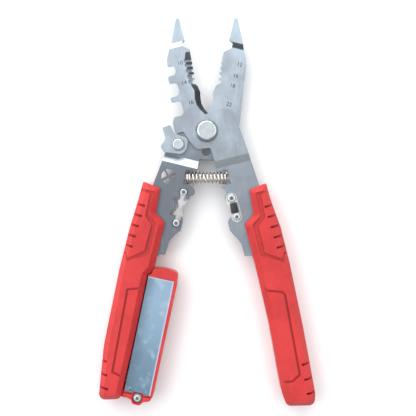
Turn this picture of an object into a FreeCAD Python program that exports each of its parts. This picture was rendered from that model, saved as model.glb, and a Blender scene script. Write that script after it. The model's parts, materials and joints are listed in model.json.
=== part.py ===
"""Wire stripper with crimping handles, a swing-out storage tray and a thumb latch.

The tool is drawn closed, with its main pivot on the origin and its jaws along +Y. The front
half (left jaw, right handle) and the rear half (right jaw, left handle) are then each turned
open by open_angle. Heights are measured from the middle of the two plates, and the whole tool
is lifted so that it lies on Z = 0.
"""
import FreeCAD, Part
import math
import os
import Sketcher
from FreeCAD import Placement, Rotation, Vector

doc = FreeCAD.newDocument("wire_stripper")

# ---------------------------------------------------------------- driving sizes, in mm

SIZES = [
    ("open_angle", 13.65, "turn of each half from closed to the resting position, degrees"),
    ("plate_thick", 4.0, "steel plate"),
    ("plate_gap", 0.1, "shear gap between the two plates"),
    ("grip_thick", 15.6, "grips, front to back"),
    ("mid_height", "=grip_thick / 2", "middle of the plates above the surface it lies on"),
    ("nose_reach", 65.6, "pivot to the tip of the nose"),
    ("handle_reach", 163.3, "pivot to the end of the right grip"),
    ("nose_bend_low", 49.6, "lower edge of the bend at the nose"),
    ("nose_bend_high", 52.3, "upper edge of the bend at the nose"),
    ("handle_bend_high", -17.6, "upper edge of the bend at the handles"),
    ("handle_bend_low", -21.9, "lower edge of the bend at the handles"),
    ("meet_gap", 0.3, "space left between the two halves where they close on each other"),
    ("running_gap", 0.05, "radial and face clearance of the turning fits"),
    ("pivot_radius", 4.0, "shank of the main bolt"),
    ("pivot_head_radius", 5.45, "main bolt head"),
    ("pivot_head_height", 2.6, "main bolt head"),
    ("pivot_washer_radius", 6.4, "washer under the main bolt head"),
    ("pivot_washer_thick", 0.9, "washer under the main bolt head"),
    ("pivot_nut_flats", 11.0, "main nut across its flats"),
    ("sight_hole_radius", 2.5, "round hole in the rear plate below the pivot"),
    ("cross_x", -15.1, "middle of the four-part window in the left handle"),
    ("cross_y", -29.6, "middle of the four-part window in the left handle"),
    ("cross_hole_radius", 4.15, "four-part window in the left handle"),
    ("cross_web", 1.1, "web between the four parts"),
    ("latch_x", -13.7, "latch bolt"),
    ("latch_y", -11.2, "latch bolt"),
    ("latch_thick", 3.4, "latch lever"),
    ("latch_bolt_radius", 2.0, "shank of the latch bolt"),
    ("latch_head_radius", 3.1, "head of the latch bolt"),
    ("latch_head_height", 2.2, "head of the latch bolt"),
    ("latch_washer_thick", 0.4, "washer under the latch bolt head"),
    ("latch_nut_flats", 6.4, "latch nut across its flats"),
    ("latch_nut_thick", 2.4, "latch nut"),
    ("spring_pocket_depth", 6.2, "pocket for the spring, from the inner edge of each half"),
    ("spring_pocket_top", -23.6, "upper end of the spring pockets"),
    ("spring_pocket_foot", -32.2, "lower end of the spring pockets"),
    ("spring_y", -28.6, "middle of the spring, along the closed tool"),
    ("spring_radius", 3.5, "outside of the coil"),
    ("spring_wire", 0.9, "spring wire, across"),
    ("spring_turns", 12, "turns of the spring"),
    ("spring_peg_width", 1.6, "peg that holds each end of the spring"),
    ("spring_peg_length", 1.5, "peg that holds each end of the spring"),
    ("grip_chamfer", 3.0, "sloping side facets of the grips"),
    ("channel_depth", 1.2, "channel round the raised panel of each grip"),
    ("channel_width", 1.2, "channel round the lower panel of each grip"),
    ("notch_depth", 2.7, "finger notches in the outer side of each grip"),
    ("notch_width", 1.2, "finger notches in the outer side of each grip"),
    ("notch_pitch", 5.9, "spacing of the five upper finger notches"),
    ("die_proud", 0.6, "how far the left die stands out of each plate face"),
    ("die_counterbore_radius", 2.4, "hollow that each eye of the left die sits in"),
    ("die_floor", 1.4, "floor of those hollows, which the pins are riveted through"),
    ("die_pin_radius", 1.3, "pins of the left die"),
    ("die_pin_head_radius", 1.95, "heads of the pins of the left die"),
    ("die_pin_head_height", 1.0, "heads of the pins of the left die"),
    ("seat_radius", 3.05, "outer radius of the right die seat"),
    ("seat_rim", 0.55, "rim of the right die seat"),
    ("seat_floor", 0.5, "floor of the right die seat"),
    ("seat_height", 1.5, "right die seat, floor and rim"),
    ("seat_screw_radius", 1.25, "shank of the right die screws"),
    ("upper_screw_head_radius", 2.3, "upper screw of the right die"),
    ("lower_screw_head_radius", 2.0, "lower screw of the right die"),
    ("screw_head_height", 1.6, "both screws of the right die"),
    ("tray_depth", 10.4, "tray, front to back"),
    ("tray_wall", 1.5, "right wall of the tray"),
    ("tray_back", 1.2, "back wall of the tray"),
    ("tray_length", 73.7, "tray, from its pivot to its top edge"),
    ("tray_play", 0.5, "space between the tray and the ear it turns on"),
    ("window_thick", 1.2, "clear cover of the tray"),
    ("window_sink", 0.5, "cover below the edge of the tray"),
    ("window_play", 0.15, "space around the clear cover"),
    ("window_pin_radius", 0.9, "rivet of the clear cover"),
    ("tray_screw_radius", 1.5, "pivot screw of the tray"),
    ("tray_screw_head_radius", 1.9, "pivot screw of the tray"),
    ("eyelet_radius", 2.6, "washer under the tray screw head"),
    ("ear_radius", 3.9, "ear of the left grip"),
    ("ear_thick", 2.8, "ear of the left grip"),
    ("tray_nut_flats", 4.6, "nut of the tray screw, across its flats"),
    ("tray_nut_thick", 1.6, "nut of the tray screw"),
]

sheet = doc.addObject("Spreadsheet::Sheet", "sizes")
for row, (word, amount, note) in enumerate(SIZES, start=1):
    sheet.set("A%d" % row, word)
    sheet.set("B%d" % row, str(amount))
    sheet.set("C%d" % row, note)
    sheet.setAlias("B%d" % row, word)
doc.recompute()


def size(word):
    return float(sheet.get(word))


plate_thick = size("plate_thick")
meet_gap = size("meet_gap")
nose_reach = size("nose_reach")
handle_end = -size("handle_reach")
grip_front = size("grip_thick") / 2
blank_height = 30.0
blank_half_width = 60.0
blank_end = handle_end - 40.0
blank_nose = nose_reach + 30.0

# ---------------------------------------------------------------- drawing helpers


def piece(name, half):
    """A body drawn in the closed tool; half is +1 for the front half and -1 for the rear."""
    body = doc.addObject("PartDesign::Body", name)
    body.Label = name
    body.Placement = Placement(Vector(0, 0, 1), Rotation(Vector(0, 0, half), 1))
    body.setExpression("Placement.Base.z", "sizes.mid_height")
    body.setExpression("Placement.Rotation.Angle", "sizes.open_angle")
    return body


def sketch_on(body, name, role="XY_Plane", x="0", y="0", z="0"):
    """A sketch on one of the body's own planes, moved by expressions along that plane's axes."""
    plane = [f for f in body.Origin.OriginFeatures if f.Role == role][0]
    sketch = body.newObject("Sketcher::SketchObject", name)
    sketch.AttachmentSupport = [(plane, "")]
    sketch.MapMode = "FlatFace"
    for axis, rule in (("x", x), ("y", y), ("z", z)):
        if rule != "0":
            sketch.setExpression("AttachmentOffset.Base." + axis, rule)
    return sketch


def outline(sketch, corners):
    """Closed line through the corners (x, y) or (x, y, radius), each rounded by its radius."""
    points = [Vector(c[0], c[1], 0) for c in corners]
    radii = [c[2] if len(c) > 2 else 0.0 for c in corners]
    count = len(points)
    starts, ends, arcs = [], [], []
    for i in range(count):
        here, before, after = points[i], points[i - 1], points[(i + 1) % count]
        back, ahead = before - here, after - here
        half_angle = back.getAngle(ahead) / 2
        reach = 0.0
        if radii[i] > 0 and half_angle < math.pi / 2 - 0.01:
            reach = min(radii[i] / math.tan(half_angle), 0.48 * back.Length, 0.48 * ahead.Length)
        if reach > 0.01:
            back.normalize()
            ahead.normalize()
            first, last = here + back * reach, here + ahead * reach
            bisector = (back + ahead).normalize()
            radius = reach * math.tan(half_angle)
            nearest = reach / math.cos(half_angle) - radius
            arcs.append(Part.Arc(first, here + bisector * nearest, last))
        else:
            first = last = here
            arcs.append(None)
        starts.append(first)
        ends.append(last)
    for i in range(count):
        following = (i + 1) % count
        if arcs[i]:
            sketch.addGeometry(arcs[i], False)
        if ends[i].distanceToPoint(starts[following]) > 1e-4:
            sketch.addGeometry(Part.LineSegment(ends[i], starts[following]), False)


def circle(sketch, x, y, radius_rule):
    """Circle whose radius is bound to the sheet."""
    index = sketch.addGeometry(Part.Circle(Vector(x, y, 0), Vector(0, 0, 1), 1.0), False)
    constraint = sketch.addConstraint(Sketcher.Constraint("Radius", index, 1.0))
    sketch.setExpression("Constraints[%d]" % constraint, radius_rule)


def pad(body, sketch, length_rule, name):
    feature = body.newObject("PartDesign::Pad", name)
    feature.Profile = sketch
    feature.setExpression("Length", length_rule)
    return feature


def cut_through(body, sketch, name):
    """Pocket from the sketch down through everything below it."""
    feature = body.newObject("PartDesign::Pocket", name)
    feature.Profile = sketch
    feature.Type = "ThroughAll"
    return feature


def cut_down(body, sketch, depth_rule, name):
    feature = body.newObject("PartDesign::Pocket", name)
    feature.Profile = sketch
    feature.setExpression("Length", depth_rule)
    return feature


def block(name, half, corners, foot_rule, length_rule):
    """Flat piece: an outline padded upwards from foot_rule."""
    body = piece(name, half)
    drawing = sketch_on(body, name + "_outline", z=foot_rule)
    outline(drawing, corners)
    pad(body, drawing, length_rule, name + "_pad")
    return body


def turned(name, half, x_rule, y_rule, profile):
    """Round piece on a vertical axis at (x, y): profile is (radius, height) from the axis out."""
    body = piece(name, half)
    drawing = sketch_on(body, name + "_profile", "XZ_Plane", x=x_rule, z="-(%s)" % y_rule)
    outline(drawing, profile)
    spin = body.newObject("PartDesign::Revolution", name + "_turn")
    spin.Profile = drawing
    spin.ReferenceAxis = (drawing, ["V_Axis"])
    spin.Angle = 360
    return body


def hexagon(sketch, flats):
    corner = flats / math.sqrt(3)
    angles = [math.radians(60 * k) for k in range(6)]
    outline(sketch, [(corner * math.cos(a), corner * math.sin(a)) for a in angles])


def nut(name, half, x_rule, y_rule, flats, bore_rule, foot_rule, thick_rule):
    body = piece(name, half)
    drawing = sketch_on(body, name + "_hexagon", x=x_rule, y=y_rule, z=foot_rule)
    hexagon(drawing, flats)
    circle(drawing, 0, 0, bore_rule)
    pad(body, drawing, thick_rule, name + "_pad")
    return body


# ---------------------------------------------------------------- the two stamped plates
# Each plate is bent so that its jaw and pivot lie on its own side of the middle plane, and its
# nose tip and handle lie in the middle plane, level with the other half.

shear_face = size("plate_gap") / 2


def bent_strip(body, side):
    """The bent strip that a plate is stamped from; side +1 is in front of the middle plane."""
    offset = plate_thick / 2 + shear_face
    bend_radius = 0.8
    middle = [
        (blank_nose, 0.0),
        (size("nose_bend_high"), 0.0),
        (size("nose_bend_low"), offset * side),
        (size("handle_bend_high"), offset * side),
        (size("handle_bend_low"), 0.0),
        (blank_end, 0.0),
    ]
    upper = [(along, height + plate_thick / 2, bend_radius) for along, height in middle]
    lower = [(along, height - plate_thick / 2, bend_radius) for along, height in middle]
    profile = upper + lower[::-1]
    for last in (0, len(middle) - 1, len(middle), len(profile) - 1):
        profile[last] = profile[last][:2]
    drawing = sketch_on(body, body.Label + "_bends", "YZ_Plane", z=str(-blank_half_width))
    outline(drawing, profile)
    pad(body, drawing, str(2 * blank_half_width), body.Label + "_strip")


def stamp(body, corners):
    """Cuts away all of the strip that lies outside the outline."""
    drawing = sketch_on(body, body.Label + "_outline", z=str(blank_height / 2))
    edge = blank_half_width + 10
    frame_low, frame_high = blank_end - 10, blank_nose + 10
    outline(drawing, [
        (-edge, frame_low), (edge, frame_low), (edge, frame_high), (-edge, frame_high),
    ])
    outline(drawing, corners)
    cut_through(body, drawing, body.Label + "_stamping")


def round_hole(body, name, x_rule, y_rule, radius_rule):
    drawing = sketch_on(body, name, x=x_rule, y=y_rule, z=str(blank_height / 2))
    circle(drawing, 0, 0, radius_rule)
    cut_through(body, drawing, name + "_cut")


def spring_pocket(side):
    """Pocket in a half's inner edge, with the peg for the spring; side +1 opens to the left."""
    top, foot = size("spring_pocket_top"), size("spring_pocket_foot")
    depth = size("spring_pocket_depth")
    peg, peg_length = size("spring_peg_width") / 2, size("spring_peg_length")
    middle = size("spring_y")
    points = [
        (0.2, top, 0.3),
        (depth, top, 0.5),
        (depth, middle + peg),
        (depth - peg_length, middle + peg, 0.3),
        (depth - peg_length, middle - peg, 0.3),
        (depth, middle - peg),
        (depth, foot, 0.5),
    ]
    return [(side * p[0],) + p[1:] for p in points]


cut_edge = meet_gap / 2
edge_top, edge_foot = 43.5, 27.2

# the stripping edge, as drawn for the left jaw, from its upper end down into the throat
EDGE = [(1.4, 45.7), (1.3, edge_top), (0.4, edge_foot), (1.1, 26.0), (1.7, 22.6), (1.0, 19.2),
        (0.8, 16.0), (1.6, 13.0), (3.3, 9.7)]
# where the ground face that makes that edge meets the plate's flat face
GRIND = [(-1.3, 45.4), (-2.2, 42.7), (-2.5, 27.6), (-2.4, 26.4), (-1.4, 23.7), (-2.3, 19.0),
         (-2.1, 15.6), (-0.9, 12.4), (1.3, 9.1)]
# the wire holes in the edge: height along the jaw and radius
WIRE_HOLES = [(40.9, 0.3), (38.2, 0.45), (35.2, 0.65), (31.9, 1.1), (28.9, 1.45)]


def edge_x(along):
    """Where the stripping edge is at a height along the jaw."""
    share = (along - edge_foot) / (edge_top - edge_foot)
    return EDGE[2][0] + share * (EDGE[1][0] - EDGE[2][0])


def grind(body, side):
    """Grinds the edge from the plate's outer face, then flutes and pierces the wire holes."""
    far = 10.0
    foot = shear_face - 0.02
    top = plate_thick + shear_face + 0.02
    near = sketch_on(body, body.Label + "_edge", z=str(side * foot))
    away = sketch_on(body, body.Label + "_grind", z=str(side * top))
    floor_y = EDGE[-1][1] + 0.5
    plane = [f for f in body.Origin.OriginFeatures if f.Role == "XY_Plane"][0]
    for drawing, line in ((near, EDGE), (away, GRIND)):
        points = line + [(far, floor_y), (far, line[0][1])]
        outline(drawing, [(side * x, y) for x, y in points])
    loft = body.newObject("PartDesign::SubtractiveLoft", body.Label + "_ground_face")
    loft.Profile = near
    loft.Sections = [away]
    loft.Ruled = True
    flute_radius = 1.55
    flute_end = -2.5
    for index, (along, radius) in enumerate(WIRE_HOLES):
        start = Vector(side * edge_x(along), along, side * (shear_face - 0.1))
        finish = Vector(side * flute_end, along, side * (plate_thick + 1.2))
        way = finish - start
        flute = body.newObject("PartDesign::SubtractiveCone", "%s_flute%d" % (body.Label, index))
        flute.Radius1 = radius
        flute.Radius2 = flute_radius
        flute.Height = way.Length
        flute.AttachmentOffset = Placement(start, Rotation(Vector(0, 0, 1), way))
        flute.AttachmentSupport = [(plane, "")]
        flute.MapMode = "FlatFace"


# Front plate: left jaw with three wire-bending hooks, boss, right handle.

hidden_end = handle_end + 14.0
front_outline = [
    (-cut_edge, nose_reach - 0.1, 0.7), (-2.0, nose_reach, 0.7), (-7.6, 53.1, 4), (-9.5, 49.7, 8),
    (-12.4, 43.6, 4), (-12.8, 40.4, 0.3),
    (-9.0, 40.4, 2.9), (-9.0, 34.5, 2.9), (-14.0, 34.5, 0.9), (-14.1, 30.9, 0.8),
    (-9.8, 30.6, 3.3), (-9.8, 22.8, 3.6), (-15.5, 22.6, 0.7), (-15.2, 20.3, 0.6),
    (-10.2, 20.4, 3.6), (-10.0, 11.2, 4.2), (-15.8, 11.8, 1.4), (-17.3, 9.0, 2.0),
    (-17.6, 4.3, 1.0), (-16.6, 2.6, 0.5), (-12.7, 2.6, 0.7), (-10.7, -3.5, 8), (-7.8, -8.8, 3),
    (-0.6, -9.6, 1.2), (cut_edge, -11.8, 1.0),
] + spring_pocket(1) + [
    (cut_edge, -31.9, 0.3), (2.4, -34.4, 1.2), (2.7, -36.4, 1.2), (1.1, -38.4, 1.2), (2.1, -41.5, 2),
    (3.2, -45.8, 3), (2.6, -49.4, 2), (-0.4, -52.2, 1.5), (-0.5, -57.4, 2), (1.2, -60.7, 2.5),
    (4.1, -66.0, 6), (4.2, -73.3, 0.3), (8.0, -74.2, 1.5), (11.8, -80.0, 2),
    (12.0, hidden_end, 1), (21.5, hidden_end, 1), (23.0, -90.0, 10), (23.0, -60.0, 10),
    (21.5, -36.0, 10), (20.2, -21.3, 4), (18.3, -2.6, 8), (17.2, 5.0, 2), (16.4, 8.2, 2.2),
    (13.5, 9.6, 3), (8.9, 9.9, 6), (3.3, 9.6, 0.5),
] + EDGE[-2::-1] + [
    (1.3, 46.6, 0.6), (-1.8, 49.0, 0.8), (-1.8, 52.0, 0.8), (-cut_edge, 52.8, 0.3),
]

front_plate = piece("front_plate", 1)
bent_strip(front_plate, 1)
stamp(front_plate, front_outline)
round_hole(front_plate, "front_bore", "0", "0", "sizes.pivot_radius + sizes.running_gap")
grind(front_plate, 1)

# Rear plate: right jaw, boss, left handle with the window for the left die.

rear_outline = [
    (cut_edge, nose_reach - 0.1, 0.7), (2.0, nose_reach, 0.7), (8.1, 53.0, 4), (9.4, 49.7, 8),
    (11.6, 45.6, 4), (13.0, 41.0, 6), (14.5, 27.8, 20), (16.8, 10.1, 10), (17.5, 3.0, 8),
    (14.5, -8.0, 8), (7.5, -14.8, 6), (-cut_edge - 0.2, -16.0, 1.2),
] + spring_pocket(-1) + [
    (-cut_edge - 0.4, -32.0, 0.3), (1.1, -33.7, 1.2), (1.9, -35.2, 1.2), (1.1, -36.9, 1.2),
    (-0.5, -38.0, 1.5), (-1.3, -41.2, 1.0), (-1.9, -49.0, 1.0), (-1.1, -53.5, 3),
    (-1.1, -57.8, 1.5), (-3.2, -60.2, 2), (-5.9, -65.0, 6), (-6.5, -73.2, 0.3), (-9.4, -73.5, 1.5),
    (-12.6, -79.0, 2), (-15.0, -90.0, 5), (-14.5, hidden_end, 1), (-22.5, hidden_end, 1),
    (-25.5, -90.0, 10), (-25.0, -60.0, 10), (-22.1, -35.4, 8), (-20.3, -21.3, 3),
    (-19.8, -15.0, 3), (-17.6, -7.5, 4), (-14.5, -4.2, 3), (-13.4, 5.0, 4), (-9.0, 9.8, 3),
    (-3.3, 9.6, 0.5),
] + [(-x, y) for x, y in EDGE[-2::-1]] + [
    (-1.0, 46.2, 0.4), (2.6, 49.0, 0.8), (2.6, 51.8, 0.8), (cut_edge, 53.4, 0.6),
]

rear_plate = piece("rear_plate", -1)
bent_strip(rear_plate, -1)
stamp(rear_plate, rear_outline)
round_hole(rear_plate, "rear_bore", "0", "0", "sizes.pivot_radius + sizes.running_gap")
round_hole(rear_plate, "sight_hole", "2.4", "-11", "sizes.sight_hole_radius")
round_hole(rear_plate, "latch_bore", "sizes.latch_x", "sizes.latch_y",
           "sizes.latch_bolt_radius + sizes.running_gap")
grind(rear_plate, -1)

# the four-part window beside the spring
web = size("cross_web") / 2
cross_radius = size("cross_hole_radius")
cross_sketch = sketch_on(rear_plate, "cross_window", x="sizes.cross_x", y="sizes.cross_y",
                         z=str(blank_height / 2))
inner_corner = web * math.sqrt(2)
reach_angle = math.asin(web / cross_radius)
for quarter in range(4):
    middle = math.radians(90 * quarter)
    rim = [middle - math.pi / 4 + reach_angle, middle, middle + math.pi / 4 - reach_angle]
    first, crown, last = [
        Vector(cross_radius * math.cos(a), cross_radius * math.sin(a), 0) for a in rim
    ]
    heart = Vector(inner_corner * math.cos(middle), inner_corner * math.sin(middle), 0)
    cross_sketch.addGeometry(Part.Arc(first, crown, last), False)
    cross_sketch.addGeometry(Part.LineSegment(last, heart), False)
    cross_sketch.addGeometry(Part.LineSegment(heart, first), False)
cut_through(rear_plate, cross_sketch, "cross_window_cut")

# the window that the left die stands in, open to the inner edge, and a counterbore at each end
# whose floor its eye is riveted to
die_x = -4.5
die_pin_top, die_pin_foot = -36.4, -54.4
window_sketch = sketch_on(rear_plate, "die_window", z=str(blank_height / 2))
outline(window_sketch, [
    (-6.3, die_pin_top - 1.8), (-6.6, -39.9, 0.3), (-9.4, -40.6, 0.3), (-7.4, -45.4, 1.0),
    (-9.4, -50.2, 0.3), (-6.6, -50.6, 0.3), (-6.3, die_pin_foot + 1.8),
    (-2.7, die_pin_foot + 1.8), (-2.5, -50.5, 0.3), (3.0, -50.5), (3.0, -40.0),
    (-2.5, -39.7, 0.3), (-2.7, die_pin_top - 1.8),
])
cut_through(rear_plate, window_sketch, "die_window_cut")
for place, along in (("upper", die_pin_top), ("lower", die_pin_foot)):
    counterbore = sketch_on(rear_plate, place + "_counterbore", x=str(die_x), y=str(along),
                            z="sizes.plate_thick / 2")
    circle(counterbore, 0, 0, "sizes.die_counterbore_radius")
    cut_down(rear_plate, counterbore, "sizes.plate_thick - sizes.die_floor",
             place + "_counterbore_cut")
    round_hole(rear_plate, place + "_rivet_hole", str(die_x), str(along), "sizes.die_pin_radius")

# ---------------------------------------------------------------- main pivot

plate_front = "(sizes.plate_thick + sizes.plate_gap / 2)"
front_face = plate_thick + shear_face
washer_foot = front_face + size("running_gap")
washer_top = washer_foot + size("pivot_washer_thick")
head_top = washer_top + size("pivot_head_height")
nut_foot = -size("mid_height")
head_radius, shank_radius = size("pivot_head_radius"), size("pivot_radius")

pivot_washer = turned("pivot_washer", -1, "0", "0", [
    (shank_radius + 0.1, washer_foot), (size("pivot_washer_radius"), washer_foot, 0.2),
    (size("pivot_washer_radius"), washer_top - 0.3, 0.2), (head_radius + 0.2, washer_top),
    (shank_radius + 0.1, washer_top),
])
pivot_bolt = turned("pivot_bolt", -1, "0", "0", [
    (0, nut_foot + 0.4), (shank_radius - 0.4, nut_foot + 0.4), (shank_radius, nut_foot + 0.8),
    (shank_radius, washer_top), (head_radius, washer_top), (head_radius, head_top, 0.9), (0, head_top),
])
pivot_nut = nut("pivot_nut", -1, "0", "0", size("pivot_nut_flats"), "sizes.pivot_radius",
                "-sizes.mid_height", "sizes.mid_height - sizes.plate_thick - sizes.plate_gap / 2")

# ---------------------------------------------------------------- latch

latch_foot = -shear_face + size("running_gap") * 2
latch_top = latch_foot + size("latch_thick")
latch_lever = block("latch_lever", -1, [
    (-24.7, -4.1, 0.9), (-20.8, -1.6, 0.7), (-17.4, -5.6, 2.2), (-13.4, -6.0, 3), (-8.9, -6.4, 4.4),
    (-8.3, -15.9, 4.6), (-20.6, -17.2, 1.6), (-23.3, -14.4, 1.2), (-21.3, -10.0, 3),
], str(latch_foot), "sizes.latch_thick")
round_hole(latch_lever, "lever_bore", "sizes.latch_x", "sizes.latch_y",
           "sizes.latch_bolt_radius + sizes.running_gap")

bolt_radius, bolt_head = size("latch_bolt_radius"), size("latch_head_radius")
latch_washer_foot = latch_top + size("running_gap")
latch_washer_top = latch_washer_foot + size("latch_washer_thick")
latch_head_top = latch_washer_top + size("latch_head_height")
latch_nut_top = -front_face
latch_washer = turned("latch_washer", -1, "sizes.latch_x", "sizes.latch_y", [
    (bolt_radius + 0.1, latch_washer_foot), (bolt_head + 0.5, latch_washer_foot),
    (bolt_head + 0.5, latch_washer_top), (bolt_radius + 0.1, latch_washer_top),
])
latch_bolt = turned("latch_bolt", -1, "sizes.latch_x", "sizes.latch_y", [
    (0, latch_nut_top - size("latch_nut_thick") + 0.3),
    (bolt_radius, latch_nut_top - size("latch_nut_thick") + 0.3), (bolt_radius, latch_washer_top),
    (bolt_head, latch_washer_top), (bolt_head, latch_head_top, 0.6), (0, latch_head_top),
])
latch_nut = nut("latch_nut", -1, "sizes.latch_x", "sizes.latch_y", size("latch_nut_flats"),
                "sizes.latch_bolt_radius", "-%s - sizes.latch_nut_thick" % plate_front,
                "sizes.latch_nut_thick")

# ---------------------------------------------------------------- return spring
# A compression spring between the two pegs, in the open tool's own frame.

turn_open = math.radians(size("open_angle"))


def opened(x, y, half):
    """A point of the closed tool, where that half carries it in the open tool."""
    cosine, sine = math.cos(turn_open * half), math.sin(turn_open * half)
    return Vector(x * cosine - y * sine, x * sine + y * cosine, 0)


seat_clear = 1.0
left_seat = opened(-size("spring_pocket_depth"), size("spring_y"), -1)
right_seat = opened(size("spring_pocket_depth"), size("spring_y"), 1)
spring_way = right_seat - left_seat
spring_length = spring_way.Length - 2 * seat_clear
spring_way.normalize()
wire_radius = size("spring_wire") / 2
coil_radius = size("spring_radius") - wire_radius
pitch = (spring_length - 2 * wire_radius) / size("spring_turns")
helix = Part.makeHelix(pitch, pitch * size("spring_turns"), coil_radius)
wire_section = Part.Circle(Vector(coil_radius, 0, 0), Vector(0, 1, 0), wire_radius)
wire_end = Part.Wire(wire_section.toShape())
coil = Part.Wire(helix).makePipeShell([wire_end], True, True)
return_spring = doc.addObject("Part::Feature", "return_spring")
return_spring.Label = "return_spring"
return_spring.Shape = coil
spring_start = left_seat + spring_way * (seat_clear + wire_radius)
return_spring.Placement = Placement(spring_start + Vector(0, 0, size("mid_height")),
                                    Rotation(Vector(0, 0, 1), spring_way))

# ---------------------------------------------------------------- grips
# Moulded sleeves, pressed over the handle ends of the plates.


def relief(body, side, name, shapes, depth_rule):
    """The same sunk shapes in the front and the back of a grip, given for the right grip."""
    for face, sign in (("front", ""), ("back", "-")):
        drawing = sketch_on(body, "%s_%s" % (name, face), z=sign + "sizes.grip_thick / 2")
        for corners in shapes:
            outline(drawing, [(side * x, y) for x, y in corners])
        sunk = cut_down(body, drawing, depth_rule, "%s_%s_cut" % (name, face))
        sunk.Reversed = sign == "-"


def ribbon(line, width):
    """Closed outline of a channel of that width along a line of points."""
    left, right = [], []
    for i, here in enumerate(line):
        before, after = line[max(i - 1, 0)], line[min(i + 1, len(line) - 1)]
        ways = [Vector(b[0] - a[0], b[1] - a[1], 0) for a, b in ((before, here), (here, after))]
        normals = [Vector(-w.y, w.x, 0).normalize() for w in ways if w.Length > 0]
        mitre = (normals[0] + normals[-1]).normalize()
        reach = width / 2 / mitre.dot(normals[0])
        left.append((here[0] + mitre.x * reach, here[1] + mitre.y * reach))
        right.append((here[0] - mitre.x * reach, here[1] - mitre.y * reach))
    return left + right[::-1]


def grip(name, half, plate, corners, rim_line, panel_line, low_line, notches, low_notches):
    """Sleeve with sloping sides, two panels outlined by channels, and finger notches."""
    body = block(name + "_solid", half, corners, "-sizes.grip_thick / 2", "sizes.grip_thick")
    doc.recompute()
    rims = []
    for number, edge in enumerate(body.Shape.Edges, start=1):
        box = edge.BoundBox
        flat = box.ZLength < 0.01
        if flat and abs(abs(box.ZMin - size("mid_height")) - grip_front) < 0.01:
            rims.append("Edge%d" % number)
    solid = body.Tip
    facets = body.newObject("PartDesign::Chamfer", name + "_facets")
    facets.Base = (solid, rims)
    facets.setExpression("Size", "sizes.grip_chamfer")
    channels = [rim_line + panel_line[::-1], ribbon(low_line, size("channel_width"))]
    relief(body, half, name + "_channels", channels, "sizes.channel_depth")
    beyond = 40.0
    first, pitch = notches, size("notch_pitch")
    cuts = []
    for index in range(5):
        inner, along = first[0] + 0.3 * index, first[1] - pitch * index
        cuts.append(ribbon([(beyond, along + 0.6), (inner, along)], size("notch_width")))
    for inner, along in low_notches:
        cuts.append(ribbon([(beyond, along), (inner, along)], size("notch_width")))
    for end in (0, -1):
        # the channel's two ends, carried on across the facet
        (rim_x, rim_y), (panel_x, panel_y) = rim_line[end], panel_line[end]
        inner = min(rim_x, panel_x) - 0.6
        cuts.append([(inner, rim_y), (beyond, rim_y), (beyond, panel_y), (inner, panel_y)])
    relief(body, half, name + "_notches", cuts, "sizes.notch_depth")
    sleeve = doc.addObject("Part::Cut", name)
    sleeve.Label = name
    sleeve.Base = body
    sleeve.Tool = plate
    return sleeve


right_grip = grip(
    "right_grip", 1, front_plate,
    [
        (15.6, -37.6), (14.4, -51.9, 2.0), (8.4, -55.6), (8.8, -80.0, 10),
        (8.6, -112.0, 40), (6.4, handle_end + 13.0, 10), (7.0, handle_end + 3.4, 3.5),
        (22.4, handle_end, 3.8), (24.3, handle_end + 6.5, 10), (26.4, -120.0, 60),
        (27.6, -82.0, 60), (27.4, -62.0, 30), (25.6, -46.0, 20), (25.3, -36.2),
    ],
    rim_line=[(25.6, -40.0), (18.0, -40.4), (17.8, -53.2), (12.2, -57.0), (12.6, -74.6),
              (24.1, -81.1), (27.2, -77.2)],
    panel_line=[(25.9, -41.5), (21.0, -41.6), (20.1, -54.6), (15.3, -58.7), (15.4, -73.8),
                (23.7, -79.0), (26.0, -76.0)],
    low_line=[(6.0, -89.0), (9.6, -91.6), (11.6, -94.4), (19.3, -97.1), (20.6, -98.9),
              (18.1, -143.9), (13.4, -146.6), (6.0, -145.6)],
    notches=(21.1, -49.0),
    low_notches=[(20.5, -139.0), (19.9, -147.4), (19.4, -155.4)],
)
left_sleeve = grip(
    "left_sleeve", -1, rear_plate,
    [
        (-17.8, -37.4), (-16.8, -51.4, 2.0), (-10.7, -55.6), (-10.7, handle_end + 80.7),
        (-13.2, handle_end + 77.0, 1.5), (-12.0, handle_end + 42.3, 40),
        (-11.5, handle_end + 6.3, 3.4), (-23.3, handle_end + 2.9, 3.4),
        (-27.6, handle_end + 33.3, 60), (-29.2, -87.0, 60), (-29.0, -63.0, 30),
        (-28.0, -46.0, 20), (-27.8, -35.8),
    ],
    rim_line=[(27.6, -39.9), (20.0, -40.0), (20.1, -52.9), (14.8, -56.8), (15.1, -74.6),
              (25.8, -80.9), (28.9, -77.4)],
    panel_line=[(27.2, -41.5), (22.3, -41.5), (21.9, -54.4), (17.5, -58.3), (17.8, -73.1),
                (25.7, -79.1), (28.2, -76.2)],
    low_line=[(9.0, -91.6), (12.7, -92.9), (21.8, -96.2), (19.2, -142.6), (9.0, -145.0)],
    notches=(23.4, -49.0),
    low_notches=[(23.6, -138.0), (21.5, -145.3), (19.2, -152.6)],
)

# The ear that the tray turns on, moulded with the left grip.

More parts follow.
